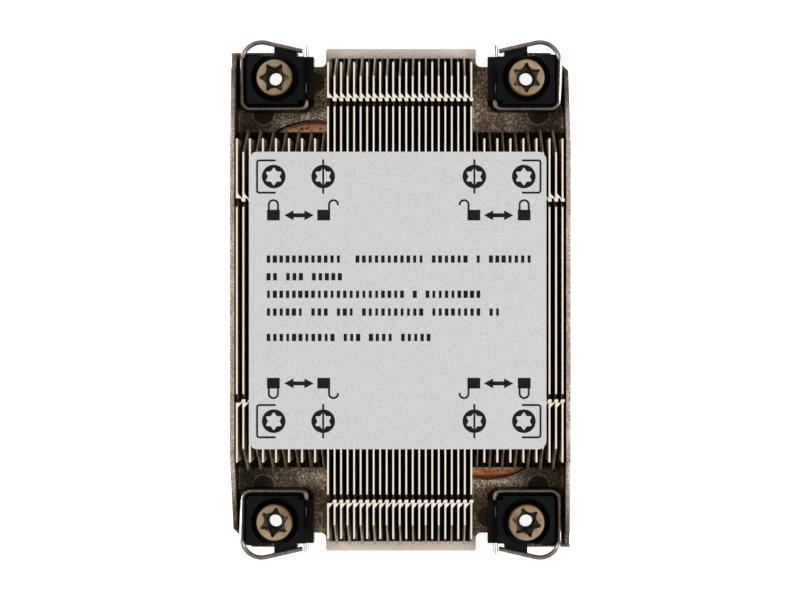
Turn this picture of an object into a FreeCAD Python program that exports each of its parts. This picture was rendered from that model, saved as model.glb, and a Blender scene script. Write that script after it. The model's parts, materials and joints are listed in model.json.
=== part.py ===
"""Passive processor cooler for a server one rack unit high.

A cast base plate with low side walls carries two bent heat pipes and a stack of zipped sheet
fins. Each corner holds a moulded housing, in which a captive nut spins and an anti-tilt wire
swings. A plain label lies on the fins.

Millimetres. +Y is along the fins, +X across them, +Z away from the processor. The origin is the
centre of the contact pad's lower face.
"""
import FreeCAD, Part
import math
import os

from FreeCAD import Vector

# ---- Captive nuts: everything in a corner of the cooler is placed from a nut's axis
NUT_SPACING_X = 58.0
NUT_SPACING_Y = 102.4
NUT_HEAD_RADIUS = 4.15
NUT_FLANGE_RADIUS = 4.8
NUT_FLANGE_THICKNESS = 1.5
NUT_SHANK_RADIUS = 3.6
NUT_HEIGHT = 8.1            # above the flange's lower face
NUT_EDGE = 0.35
NUT_END_GAP = 0.1           # above and below the flange
NUT_BOTTOM_GAP = 0.3        # from the end of the shank to the plate's lower face
THREAD_RADIUS = 1.65        # M4, before the thread is cut
LEAD_IN_RADIUS = 2.1        # wider mouth that finds the stud
LEAD_IN_DEPTH = 3.0
STAR_TIP = 2.9              # six-lobed driver recess
STAR_VALLEY = 2.05
STAR_TIP_ROUND = 0.3
STAR_DEPTH = 3.2
STAR_MOUTH = 1.19           # the recess opens by this factor towards the top
NUT_TURN = {"front_right": 46.0, "front_left": 22.0, "rear_right": 30.0, "rear_left": 0.0}

# ---- Housings: a foot on the plate, a block with a well round the nut, a rib over the wire
NUT_SIDE_GAP = 0.08         # running fit of the nut's head
FLANGE_SIDE_GAP = 0.25
COLLAR_LENGTH = 0.7         # of the collar that keeps the flange down
WELL_GAP = 1.35             # from the nut's head to the side of the well
WELL_WALL = 0.4             # towards the fins
FOOT_THICKNESS = 2.7
FOOT_LIP = 0.8              # how far the foot runs out beyond the block, sideways
FOOT_STEP = 1.7             # and towards the fins
FOOT_FRONT = 5.8            # from the nut's axis towards the end of the base
BLOCK_RISE = 6.6            # above the plate
BLOCK_SIDE = 6.5            # from the nut's axis to the block's outer side
BLOCK_FRONT = 5.0           # towards the end of the base
BLOCK_FILLET = 0.8
PIVOT_GAP = 0.06            # running fit of the wire
PIVOT_WALL = 0.94           # between the wire's bore and the well
RIB_WALL = 1.09             # beside the wire's bore
RIB_ROOF = 0.79             # over it
RIB_WIDTH = 2.25
RIB_SETBACK = 0.9           # leaves room for the wire's bend
EAR_INNER = -4.9            # from the nut's axis, sideways
EAR_OUTER = 0.4
EAR_THICKNESS = 1.0
EAR_HOOK = 2.2              # how far the ear reaches down the end of the base
EAR_GAP = 0.1
EAR_NOTCH_OUTER = 3.9       # the shallow notch beside the ear
EAR_NOTCH_END = 5.4
WINDOW_START = -3.3         # a slot over the wire, from the nut's axis
WINDOW_LENGTH = 2.3
WINDOW_WIDTH = 0.7

# ---- Anti-tilt wires, lying in the locked place
WIRE_DIAMETER = 1.2
WIRE_FOOT_GAP = 0.5         # between the wire and the housing's foot
WIRE_ARM_GAP = 0.4          # between the wire and the housing's block
WIRE_SWING_GAP = 0.2        # between the swinging wire and the block's upper edge
WIRE_WALL_GAP = 0.4         # between the wire and the base's side wall
WIRE_SPREAD = 0.4           # how far the outer side leans out over its length
WIRE_STUB_END = 7.8         # from the nut's axis towards the end of the base
WIRE_SHOULDER = 9.75
WIRE_ARM_END = 6.45
ARM_END_GAP = 0.2           # from the arm's end to the stub
PIVOT_BEND = 1.3
KNEE_BEND = 1.8
SHOULDER_BEND = 4.6

# ---- Base plate
LOBE_MARGIN = 6.4           # from a nut's axis to the end of its lobe
TONGUE_STEP = 0.9           # how far the tongue between two lobes runs past them
TONGUE_WIDTH = 34.9
NOTCH_MARGIN = 3.1          # from a nut's axis to the bottom of the notch beside the tongue
LOBE_OVERHANG = 5.0         # from a nut's axis to the inner side of its lobe
NOTCH_FILLET = 1.2
TONGUE_FILLET = 0.5
CORNER_CHAMFER = 4.2        # on two opposite corners
SHANK_SIDE_GAP = 0.3
PAD_HEIGHT = 0.8            # the machined face that touches the processor
PAD_LENGTH = 76.0
PAD_WIDTH = 56.0
PAD_FILLET = 2.0
PLATE_THICKNESS = 3.4
WALL_THICKNESS = 1.0
WALL_RISE = 11.3            # of the side walls above the plate, along the fins
WALL_RISE_SQUARE = 7.0      # at the base's square corner
WALL_RISE_CHAMFER = 0.9     # at its chamfered corner
WALL_STEP = 0.8             # small step down where the fins end
WALL_NOTCH = 2.9            # shallow notch near a square corner
WALL_NOTCH_DEPTH = 1.6
WALL_NOTCH_POST = 0.6
WALL_FILLET = 0.6
MARK_RADIUS = 2.4           # ejector marks left by casting
MARK_DEPTH = 0.25
OUTER_MARK = (3.0, -7.8)    # from a nut's axis
INNER_MARK = (-8.8, -0.6)   # beside two of the nuts only

# ---- Fins
FIN_PITCH = 1.466
FIN_THICKNESS = 0.4
FIN_HEIGHT = 21.1
FIN_SIDE_GAP = 0.06
FIN_WALL_GAP = 0.9          # at least this between the stack and a side wall
FIN_TONGUE_GAP = 0.6        # at least this between a long fin and the tongue's side
FIN_TOE = 2.6               # how far the foot of a fin runs past its top edge
FIN_TOE_EDGE = 1.0
FIN_TOE_RISE = 3.6
LONG_FIN_MARGIN = 2.25      # from a long fin's toe to the end of the tongue
SHORT_FIN_MARGIN = 4.55     # from a short fin's toe to a housing
CUT_BACK = 3.1              # every other fin has its upper corners cut back
CUT_RISE = 7.7              # where that cut starts above the plate

# ---- Interlock between the fins
ZIP_INNER_ROW = 23.0        # from the middle of the cooler
ZIP_OUTER_MARGIN = 8.05     # from the outer row to the end of a long fin's top edge
ZIP_ROOT = 1.3              # length of a tab at the fin that it is bent from
ZIP_NOTCH = 1.3             # length of the notch that takes the next tab
ZIP_NOTCH_DEPTH = 0.9
ZIP_NIB = 0.7
ZIP_HOOK = 0.25
ZIP_NECK = 0.3

# ---- Heat pipes
PIPE_WIDTH = 6.0
PIPE_HEIGHT = 2.4
PIPE_INNER_LEG = 6.6        # from the middle of the cooler
PIPE_WALL_MARGIN = 4.4      # from the outer leg to the side wall
PIPE_SHOWS = 2.25           # how far the middle of the bend lies past the short fins
PIPE_END_MARGIN = 3.65      # from the end of a leg to the short fins' end
PIPE_SIDE_GAP = 0.3
PIPE_BOTTOM_GAP = 0.1

# ---- Label
LABEL_LEFT_MARGIN = 2.75    # from the outermost fins
LABEL_RIGHT_MARGIN = 3.65
LABEL_END_MARGIN = 3.0      # from the end of the short fins
LABEL_THICKNESS = 0.2
LABEL_FILLET = 1.9

# ---- Levels
PLATE_TOP = PAD_HEIGHT + PLATE_THICKNESS
FIN_TOP = PLATE_TOP + FIN_HEIGHT
NUT_SEAT = PLATE_TOP + NUT_END_GAP
FLANGE_TOP = NUT_SEAT + NUT_FLANGE_THICKNESS
NUT_TOP = NUT_SEAT + NUT_HEIGHT
FOOT_TOP = PLATE_TOP + FOOT_THICKNESS
BLOCK_TOP = PLATE_TOP + BLOCK_RISE
COLLAR_BOTTOM = FLANGE_TOP + NUT_END_GAP
WELL_FLOOR = COLLAR_BOTTOM + COLLAR_LENGTH
WIRE_RADIUS = WIRE_DIAMETER / 2
WIRE_LEVEL = FOOT_TOP + WIRE_FOOT_GAP + WIRE_RADIUS
PIVOT_BORE = WIRE_RADIUS + PIVOT_GAP

# ---- Places in the +X +Y corner, from the nut's axis
WELL_RADIUS = NUT_HEAD_RADIUS + WELL_GAP
PIVOT = -WELL_RADIUS - PIVOT_WALL - PIVOT_BORE
RIB_INNER = PIVOT - PIVOT_BORE - RIB_WALL
BLOCK_BACK = -WELL_RADIUS - WELL_WALL
FOOT_BACK = BLOCK_BACK - FOOT_STEP
RIB_BACK = BLOCK_BACK + RIB_SETBACK
EAR_END = LOBE_MARGIN + EAR_GAP + EAR_THICKNESS
ARM_BACK = BLOCK_BACK - WIRE_ARM_GAP - WIRE_RADIUS
SWING_RADIUS = math.hypot(BLOCK_SIDE - PIVOT, BLOCK_TOP - WIRE_LEVEL)
KNEE = PIVOT + SWING_RADIUS + WIRE_SWING_GAP + WIRE_RADIUS
SHOULDER = KNEE + WIRE_SPREAD

# ---- Places from the middle of the cooler
NUT_X = NUT_SPACING_X / 2
NUT_Y = NUT_SPACING_Y / 2
WALL_INSIDE = NUT_X + SHOULDER + WIRE_RADIUS + WIRE_WALL_GAP
HALF_WIDTH = WALL_INSIDE + WALL_THICKNESS
LOBE_END = NUT_Y + LOBE_MARGIN
LOBE_INNER = NUT_X - LOBE_OVERHANG
NOTCH_END = NUT_Y + NOTCH_MARGIN
TONGUE_END = LOBE_END + TONGUE_STEP
LONG_FIN_REACH = TONGUE_END - LONG_FIN_MARGIN - FIN_TOE
SHORT_FIN_REACH = NUT_Y + FOOT_BACK - SHORT_FIN_MARGIN - FIN_TOE
LAST_FIN = int((WALL_INSIDE - FIN_WALL_GAP) / FIN_PITCH)
LAST_LONG_FIN = int((TONGUE_WIDTH / 2 - FIN_TONGUE_GAP) / FIN_PITCH)
ZIP_OUTER_ROW = LONG_FIN_REACH - ZIP_OUTER_MARGIN
PIPE_OUTER_LEG = WALL_INSIDE - PIPE_WALL_MARGIN
PIPE_BEND = (PIPE_OUTER_LEG - PIPE_INNER_LEG) / 2
PIPE_X = -(PIPE_OUTER_LEG + PIPE_INNER_LEG) / 2
PIPE_Y = SHORT_FIN_REACH + PIPE_SHOWS - PIPE_BEND
PIPE_LEG = PIPE_Y + SHORT_FIN_REACH - PIPE_END_MARGIN

CORNERS = {
    "front_right": (1, -1),
    "front_left": (-1, -1),
    "rear_right": (1, 1),
    "rear_left": (-1, 1),
}


def tangent_arc(before, corner, after, radius):
    """Return the start, middle and end of the arc that rounds one corner of an outline."""
    to_before = (before - corner).normalize()
    to_after = (after - corner).normalize()
    half_angle = to_before.getAngle(to_after) / 2
    reach = radius / math.tan(half_angle)
    to_centre = (to_before + to_after).normalize()
    centre = corner + to_centre * (radius / math.sin(half_angle))
    return corner + to_before * reach, centre - to_centre * radius, corner + to_after * reach


def route(points, closed):
    """Join points by straight runs; a third value on a point is the radius that rounds it."""
    spots = [Vector(point[0], point[1], 0) for point in points]
    rounds = [point[2] if len(point) > 2 else 0 for point in points]
    edges = []
    first = last = None
    for index, spot in enumerate(spots):
        open_end = not closed and index in (0, len(spots) - 1)
        if rounds[index] and not open_end:
            following = spots[(index + 1) % len(spots)]
            start, middle, end = tangent_arc(spots[index - 1], spot, following, rounds[index])
            arc = Part.Arc(start, middle, end).toShape()
        else:
            start = end = spot
            arc = None
        if last is not None:
            edges.append(Part.LineSegment(last, start).toShape())
        if arc is not None:
            edges.append(arc)
        first = start if first is None else first
        last = end
    if closed:
        edges.append(Part.LineSegment(last, first).toShape())
    return Part.Wire(edges)


def prism(points, bottom, top):
    """Raise a closed outline, drawn from above, between two levels."""
    outline = route(points, closed=True)
    outline.translate(Vector(0, 0, bottom))
    return Part.Face(outline).extrude(Vector(0, 0, top - bottom))


def side_prism(points, left, right):
    """Push a closed outline, drawn from the side as (y, z), between two distances along X."""
    corners = [Vector(left, y, z) for y, z in points]
    outline = Part.makePolygon(corners + corners[:1])
    return Part.Face(outline).extrude(Vector(right - left, 0, 0))


def post(x, y, bottom, top, radius):
    return Part.makeCylinder(radius, top - bottom, Vector(x, y, bottom))


def block(x_range, y_range, z_range):
    size = [high - low for low, high in (x_range, y_range, z_range)]
    return Part.makeBox(*size, Vector(x_range[0], y_range[0], z_range[0]))


def half_turn(shape):
    """Return a copy turned by 180 degrees about the cooler's vertical middle line."""
    turned = shape.copy()
    turned.rotate(Vector(0, 0, 0), Vector(0, 0, 1), 180)
    return turned


def in_corner(shape, corner):
    """Mirror a shape drawn about the nut's axis in the +X +Y corner into the named corner."""
    side_x, side_y = CORNERS[corner]
    placed = shape.copy()
    if side_x < 0:
        placed = placed.mirror(Vector(0, 0, 0), Vector(1, 0, 0))
    if side_y < 0:
        placed = placed.mirror(Vector(0, 0, 0), Vector(0, 1, 0))
    placed.translate(Vector(side_x * NUT_X, side_y * NUT_Y, 0))
    return placed


def export(node, shape):
    assert shape.isValid(), node
    shape.exportStep(f"parts/{node}.step")
    print(f"{node}: {shape.Volume:.2f} mm3")


# ---- Heat pipes and their grooves

def along_pipe(section):
    """Carry an upright section, drawn about x = 0, round the bend and down both legs."""
    bend = section.copy()
    bend.translate(Vector(PIPE_X - PIPE_BEND, PIPE_Y, 0))
    pieces = [bend.revolve(Vector(PIPE_X, PIPE_Y, 0), Vector(0, 0, 1), -180)]
    reach = PIPE_WIDTH * 2
    right_half = section.common(block((0, reach), (-reach, reach), (0, FIN_TOP)))
    for side in (-1, 1):
        leg_x = PIPE_X + side * PIPE_BEND
        leg = section.copy()
        leg.translate(Vector(leg_x, PIPE_Y, 0))
        pieces.append(leg.extrude(Vector(0, -PIPE_LEG, 0)))
        tip = right_half.copy()
        tip.translate(Vector(leg_x, PIPE_Y - PIPE_LEG, 0))
        axis_point = Vector(leg_x, PIPE_Y - PIPE_LEG, 0)
        pieces.append(tip.revolve(axis_point, Vector(0, 0, 1), -180))
    return pieces[0].multiFuse(pieces[1:]).removeSplitter()


def pipe_section():
    """A round tube pressed flat: level above and below, round at both sides."""
    flat = PIPE_WIDTH / 2 - PIPE_HEIGHT / 2
    top = PLATE_TOP
    bottom = top - PIPE_HEIGHT
    middle = (top + bottom) / 2
    edges = [
        Part.LineSegment(Vector(-flat, 0, top), Vector(flat, 0, top)).toShape(),
        Part.Arc(
            Vector(flat, 0, top), Vector(PIPE_WIDTH / 2, 0, middle), Vector(flat, 0, bottom)
        ).toShape(),
        Part.LineSegment(Vector(flat, 0, bottom), Vector(-flat, 0, bottom)).toShape(),
        Part.Arc(
            Vector(-flat, 0, bottom), Vector(-PIPE_WIDTH / 2, 0, middle), Vector(-flat, 0, top)
        ).toShape(),
    ]
    return Part.Face(Part.Wire(edges))


def groove_section():
    half = PIPE_WIDTH / 2 + PIPE_SIDE_GAP
    bottom = PLATE_TOP - PIPE_HEIGHT - PIPE_BOTTOM_GAP
    corners = [
        Vector(-half, 0, bottom),
        Vector(half, 0, bottom),
        Vector(half, 0, PLATE_TOP + PIPE_HEIGHT),
        Vector(-half, 0, PLATE_TOP + PIPE_HEIGHT),
    ]
    return Part.Face(Part.makePolygon(corners + corners[:1]))


# ---- Base plate

def plate_outline():
    """Half of the outline, from the square corner to the chamfered one, then its half turn."""
    tongue = TONGUE_WIDTH / 2
    half = [
        (HALF_WIDTH, -LOBE_END),
        (HALF_WIDTH, LOBE_END - CORNER_CHAMFER),
        (HALF_WIDTH - CORNER_CHAMFER, LOBE_END),
        (LOBE_INNER, LOBE_END),
        (LOBE_INNER, NOTCH_END),
        (tongue, NOTCH_END, NOTCH_FILLET),
        (tongue, TONGUE_END, TONGUE_FILLET),
        (-tongue, TONGUE_END, TONGUE_FILLET),
        (-tongue, NOTCH_END, NOTCH_FILLET),
        (-LOBE_INNER, NOTCH_END),
        (-LOBE_INNER, LOBE_END),
    ]
    other = [(-point[0], -point[1], *point[2:]) for point in half]
    return half + other


def side_wall():
    """The right-hand wall: level beside the fins, falling a little to the square corner, where
    it has a shallow notch, and nearly down to the plate at the chamfered one."""
    level = PLATE_TOP + WALL_RISE
    step_level = level - WALL_STEP
    step_y = SHORT_FIN_REACH + WALL_STEP
    fall = (step_level - PLATE_TOP - WALL_RISE_SQUARE) / (LOBE_END - step_y)

    def top_at(distance):
        return step_level - fall * (distance - step_y)

    notch_outer = LOBE_END - WALL_NOTCH_POST
    notch_inner = notch_outer - WALL_NOTCH
    notch_floor = top_at(LOBE_END) - WALL_NOTCH_DEPTH
    chamfered_end = LOBE_END - CORNER_CHAMFER
    profile = [
        (chamfered_end, PAD_HEIGHT),
        (chamfered_end, PLATE_TOP + WALL_RISE_CHAMFER),
        (step_y, step_level),
        (SHORT_FIN_REACH, level),
        (-SHORT_FIN_REACH, level),
        (-step_y, step_level),
        (-notch_inner, top_at(notch_inner)),
        (-notch_inner, notch_floor),
        (-notch_outer, notch_floor),
        (-notch_outer, top_at(notch_outer)),
        (-LOBE_END, top_at(LOBE_END)),
        (-LOBE_END, PAD_HEIGHT),
    ]
    return side_prism(profile, WALL_INSIDE, HALF_WIDTH)


def wall_root():
    """The rounded corner between the plate and the inside of the right-hand wall."""
    foot = WALL_INSIDE - WALL_FILLET
    start = -LOBE_END
    end = LOBE_END - CORNER_CHAMFER
    middle = WALL_FILLET * (1 - math.sqrt(0.5))
    low = Vector(foot, start, PLATE_TOP)
    corner = Vector(WALL_INSIDE, start, PLATE_TOP)
    high = Vector(WALL_INSIDE, start, PLATE_TOP + WALL_FILLET)
    hollow = Vector(WALL_INSIDE - middle, start, PLATE_TOP + middle)
    edges = [
        Part.LineSegment(low, corner).toShape(),
        Part.LineSegment(corner, high).toShape(),
        Part.Arc(high, hollow, low).toShape(),
    ]
    return Part.Face(Part.Wire(edges)).extrude(Vector(0, end - start, 0))


def contact_pad():
    half_x = PAD_WIDTH / 2
    half_y = PAD_LENGTH / 2
    corners = [(-half_x, -half_y), (half_x, -half_y), (half_x, half_y), (-half_x, half_y)]
    return prism([(*corner, PAD_FILLET) for corner in corners], 0, PAD_HEIGHT)


def corner_cuts():
    """The hole for a nut's shank and the ejector mark beside it, in all four corners."""
    hole = post(0, 0, 0, FIN_TOP, NUT_SHANK_RADIUS + SHANK_SIDE_GAP)
    mark = ejector_mark(*OUTER_MARK)
    return [in_corner(cut, corner) for corner in CORNERS for cut in (hole, mark)]


def ejector_mark(x, y):
    return post(x, y, PLATE_TOP - MARK_DEPTH, FIN_TOP, MARK_RADIUS)


def base_plate():
    plate = prism(plate_outline(), PAD_HEIGHT, PLATE_TOP)
    wall = side_wall()
    root = wall_root()
    plate = plate.multiFuse([wall, half_turn(wall), root, half_turn(root), contact_pad()])
    groove = along_pipe(groove_section())
    cuts = [groove, half_turn(groove)] + corner_cuts()
    inner_mark = ejector_mark(*INNER_MARK)
    cuts += [in_corner(inner_mark, corner) for corner in ("front_right", "rear_left")]
    return plate.cut(cuts).removeSplitter()


# ---- Fins

def zip_rows(reach):
    """The interlock rows that a fin of this reach crosses, on both sides of the middle."""
    rows = [row for row in (ZIP_INNER_ROW, ZIP_OUTER_ROW) if row + ZIP_ROOT < reach]
    return [side * row for side in (-1, 1) for row in rows]


def fin_sheet(reach, cut_back):
    """The upright sheet, with its toes, its corner form and its interlock notches."""
    toe = reach + FIN_TOE
    if cut_back:
        end = [(toe, PLATE_TOP), (toe, PLATE_TOP + CUT_RISE), (reach - CUT_BACK, FIN_TOP)]
    else:
        end = [
            (toe, PLATE_TOP),
            (toe, PLATE_TOP + FIN_TOE_EDGE),
            (reach, PLATE_TOP + FIN_TOE_RISE),
            (reach, FIN_TOP),
        ]
    outline = end + [(-y, z) for y, z in reversed(end)]
    sheet = side_prism(outline, -FIN_THICKNESS / 2, FIN_THICKNESS / 2)
    notches = []
    for row in zip_rows(reach):
        towards_middle = -math.copysign(1, row)
        notch_y = sorted((row, row + towards_middle * ZIP_NOTCH))
        notch_z = (FIN_TOP - ZIP_NOTCH_DEPTH, FIN_TOP + 1)
        notches.append(block((-FIN_THICKNESS, FIN_THICKNESS), notch_y, notch_z))
    return sheet.cut(notches)


def zip_tab(row):
    """A tab bent from the top edge: it narrows to the next fin and hooks into its notch."""
    face = FIN_PITCH - FIN_THICKNESS / 2 - FIN_SIDE_GAP
    tip = FIN_PITCH + FIN_THICKNESS / 2 + ZIP_HOOK
    nib_outer = -FIN_SIDE_GAP
    nib_inner = nib_outer - ZIP_NIB
    plan = [
        (0, 0),
        (0, ZIP_ROOT),
        (face, nib_outer),
        (tip, nib_outer),
        (tip, nib_inner),
        (face, nib_inner),
        (face - ZIP_NECK, 0),
    ]
    outward = math.copysign(1, row)
    placed = [(x, row + outward * y) for x, y in plan]
    return prism(placed, FIN_TOP - FIN_THICKNESS, FIN_TOP)


def fin(reach, cut_back, has_tabs, foot_reach):
    """One fin at x = 0: the sheet, the foot bent over at its bottom, and its tabs."""
    pieces = []
    if foot_reach > 0:
        foot_x = (0, FIN_PITCH - FIN_THICKNESS / 2 - FIN_SIDE_GAP)
        foot_z = (PLATE_TOP, PLATE_TOP + FIN_THICKNESS)
        pieces.append(block(foot_x, (-foot_reach, foot_reach), foot_z))
    if has_tabs:
        neighbour = foot_reach - FIN_TOE
        pieces += [zip_tab(row) for row in zip_rows(neighbour)]
    sheet = fin_sheet(reach, cut_back)
    return sheet.multiFuse(pieces).removeSplitter() if pieces else sheet


def fin_at(index):
    """The fin at this place in the stack, counted from the middle one, number 0."""
    reach = LONG_FIN_REACH if abs(index) <= LAST_LONG_FIN else SHORT_FIN_REACH
    next_is_long = -LAST_LONG_FIN - 1 <= index < LAST_LONG_FIN
    neighbour = min(reach, LONG_FIN_REACH if next_is_long else SHORT_FIN_REACH)
    is_last = index == LAST_FIN
    foot_reach = 0 if is_last else neighbour + FIN_TOE
    shape = fin(reach, cut_back=index % 2 == 0, has_tabs=not is_last, foot_reach=foot_reach)
    shape.translate(Vector(index * FIN_PITCH, 0, 0))
    return shape


# ---- Captive nuts

def star_outline(level, scale):
    """Six round-tipped points joined by six inward lobes, each arc tangent to the next."""
    tip_round = STAR_TIP_ROUND * scale
    valley = STAR_VALLEY * scale
    tip_centre = STAR_TIP * scale - tip_round
    sixth = math.pi / 6
    top = tip_round**2 - tip_centre**2 - valley**2 + 2 * tip_centre * valley * math.cos(sixth)
    lobe_round = top / (2 * (valley - tip_centre * math.cos(sixth) - tip_round))
    lobe_centre = valley + lobe_round

    def polar(radius, angle):
        return Vector(radius * math.cos(angle), radius * math.sin(angle), level)

    edges = []
    for turn in range(6):
        tip_angle = 2 * sixth * turn
        centre = polar(tip_centre, tip_angle)
        joints = []
        for side in (-1, 1):
            towards_lobe = (polar(lobe_centre, tip_angle + side * sixth) - centre).normalize()
            joints.append(centre + towards_lobe * tip_round)
        edges.append(Part.Arc(joints[0], polar(tip_centre + tip_round, tip_angle), joints[1]).toShape())
        next_centre = polar(tip_centre, tip_angle + 2 * sixth)
        back = (polar(lobe_centre, tip_angle + sixth) - next_centre).normalize()
        lobe_end = next_centre + back * tip_round
        edges.append(Part.Arc(joints[1], polar(valley, tip_angle + sixth), lobe_end).toShape())
    return Part.Wire(edges)


def nut():
    """A nut about x = y = 0: threaded shank, flange, tall head and a driver recess in its top."""
    bottom = PAD_HEIGHT + NUT_BOTTOM_GAP
    lead_in_end = bottom + LEAD_IN_DEPTH
    half_section = [
        (THREAD_RADIUS, lead_in_end + LEAD_IN_RADIUS - THREAD_RADIUS),
        (LEAD_IN_RADIUS, lead_in_end),
        (LEAD_IN_RADIUS, bottom),
        (NUT_SHANK_RADIUS, bottom),
        (NUT_SHANK_RADIUS, NUT_SEAT),
        (NUT_FLANGE_RADIUS, NUT_SEAT),
        (NUT_FLANGE_RADIUS, FLANGE_TOP),
        (NUT_HEAD_RADIUS, FLANGE_TOP),
        (NUT_HEAD_RADIUS, NUT_TOP - NUT_EDGE),
        (NUT_HEAD_RADIUS - NUT_EDGE, NUT_TOP),
        (THREAD_RADIUS, NUT_TOP),
    ]
    corners = [Vector(radius, 0, level) for radius, level in half_section]
    section = Part.Face(Part.makePolygon(corners + corners[:1]))
    body = section.revolve(Vector(0, 0, 0), Vector(0, 0, 1), 360)
    recess = Part.makeLoft(
        [star_outline(NUT_TOP - STAR_DEPTH, 1), star_outline(NUT_TOP, STAR_MOUTH)], True, True
    )
    return body.cut(recess)


def nut_in(corner):
    side_x, side_y = CORNERS[corner]
    shape = nut()
    shape.rotate(Vector(0, 0, 0), Vector(0, 0, 1), NUT_TURN[corner])
    shape.translate(Vector(side_x * NUT_X, side_y * NUT_Y, 0))
    return shape


# ---- Housings, drawn about the nut's axis in the +X +Y corner

def housing_foot():
    outer = BLOCK_SIDE + FOOT_LIP
    outline = [
        (RIB_INNER, BLOCK_BACK),
        (PIVOT, FOOT_BACK),
        (outer, FOOT_BACK, BLOCK_FILLET),
        (outer, FOOT_FRONT, BLOCK_FILLET),
        (EAR_NOTCH_OUTER, FOOT_FRONT),
        (EAR_NOTCH_OUTER, EAR_NOTCH_END),
        (EAR_OUTER, EAR_NOTCH_END),
        (EAR_OUTER, EAR_END),
        (EAR_INNER, EAR_END, BLOCK_FILLET),
        (EAR_INNER, BLOCK_FRONT),
        (RIB_INNER, BLOCK_FRONT),
    ]
    return prism(outline, PLATE_TOP, FOOT_TOP)


def housing_block():
    inner = RIB_INNER + RIB_WIDTH
    outline = [
        (inner, BLOCK_BACK),
        (BLOCK_SIDE, BLOCK_BACK, BLOCK_FILLET),
        (BLOCK_SIDE, BLOCK_FRONT, BLOCK_FILLET),
        (inner, BLOCK_FRONT),
    ]
    return prism(outline, PLATE_TOP, BLOCK_TOP)


def housing():
    rib_x = (RIB_INNER, RIB_INNER + RIB_WIDTH)
    rib_top = WIRE_LEVEL + PIVOT_BORE + RIB_ROOF
    rib = block(rib_x, (RIB_BACK, BLOCK_FRONT), (PLATE_TOP, rib_top))
    hook_x = (EAR_INNER + BLOCK_FILLET, EAR_OUTER)
    hook_y = (LOBE_MARGIN + EAR_GAP, EAR_END)
    hook = block(hook_x, hook_y, (PLATE_TOP - EAR_HOOK, PLATE_TOP))
    body = housing_foot().multiFuse([housing_block(), rib, hook])

    pocket = post(0, 0, PLATE_TOP, COLLAR_BOTTOM, NUT_FLANGE_RADIUS + FLANGE_SIDE_GAP)
    collar = post(0, 0, COLLAR_BOTTOM, BLOCK_TOP, NUT_HEAD_RADIUS + NUT_SIDE_GAP)
    well = post(0, 0, WELL_FLOOR, FIN_TOP, WELL_RADIUS)
    bore_start = Vector(PIVOT, FOOT_BACK, WIRE_LEVEL)
    bore = Part.makeCylinder(PIVOT_BORE, EAR_END - FOOT_BACK, bore_start, Vector(0, 1, 0))
    bend_x = (RIB_INNER, RIB_INNER + RIB_WIDTH + WIRE_DIAMETER)
    bend_room = block(bend_x, (BLOCK_BACK, RIB_BACK), (FOOT_TOP, FIN_TOP))
    window_x = (PIVOT - WINDOW_WIDTH / 2, PIVOT + WINDOW_WIDTH / 2)
    window_y = (WINDOW_START, WINDOW_START + WINDOW_LENGTH)
    window = block(window_x, window_y, (WIRE_LEVEL, FIN_TOP))
    return body.cut([pocket, collar, well, bore, bend_room, window]).removeSplitter()


# ---- Anti-tilt wires, drawn about the nut's axis and lying in the locked place

def anti_tilt_wire():
    points = [
        (PIVOT, WIRE_STUB_END),
        (PIVOT, ARM_BACK, PIVOT_BEND),
        (KNEE, ARM_BACK, KNEE_BEND),
        (SHOULDER, WIRE_SHOULDER, SHOULDER_BEND),
        (PIVOT + WIRE_RADIUS + ARM_END_GAP, WIRE_ARM_END),
    ]
    path = route(points, closed=False)
    path.translate(Vector(0, 0, WIRE_LEVEL))
    start = Vector(PIVOT, WIRE_STUB_END, WIRE_LEVEL)
    ring = Part.Wire(Part.makeCircle(WIRE_RADIUS, start, Vector(0, -1, 0)))
    return path.makePipeShell([ring], True, True)


# ---- Label

def label():
    left = -LAST_FIN * FIN_PITCH + LABEL_LEFT_MARGIN
    right = LAST_FIN * FIN_PITCH - LABEL_RIGHT_MARGIN
    end = SHORT_FIN_REACH - LABEL_END_MARGIN
    corners = [(left, -end), (right, -end), (right, end), (left, end)]
    outline = [(*corner, LABEL_FILLET) for corner in corners]
    return prism(outline, FIN_TOP, FIN_TOP + LABEL_THICKNESS)


# ---- All the pieces, each in its own file

def main():
    os.makedirs("parts", exist_ok=True)
    export("base_plate", base_plate())
    pipe = along_pipe(pipe_section())
    export("heat_pipe_left", pipe)
    export("heat_pipe_right", half_turn(pipe))
    export("label", label())

    for number, index in enumerate(range(-LAST_LONG_FIN, LAST_LONG_FIN + 1), start=1):
        export(f"long_fin_{number:02d}", fin_at(index))
    for pair, inner in enumerate(range(LAST_LONG_FIN + 1, LAST_FIN + 1, 2), start=1):
        places = range(inner, min(inner + 1, LAST_FIN) + 1)
        left = Part.makeCompound([fin_at(-index) for index in places])
        right = Part.makeCompound([fin_at(index) for index in places])
        export(f"fin_pair_left_{pair}", left)
        export(f"fin_pair_right_{pair}", right)

    corner_housing = housing()
    corner_wire = anti_tilt_wire()
    for corner in CORNERS:
        export(f"nut_housing_{corner}", in_corner(corner_housing, corner))
        export(f"captive_nut_{corner}", nut_in(corner))
        export(f"anti_tilt_wire_{corner}", in_corner(corner_wire, corner))


main()
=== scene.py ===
# %% [markdown]
# # A passive processor cooler
#
# This lesson dresses a server processor cooler: a cast base, copper heat pipes, a stack of sheet
# fins, a label, and in each corner a moulded housing with a nut that spins and a wire that
# swings. The solid model is loaded first. It fixes every size, place and motion, and what is
# made here only gives it its looks, so each new piece takes its place from that model.

# %% Load the solid model
import json
import math

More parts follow.
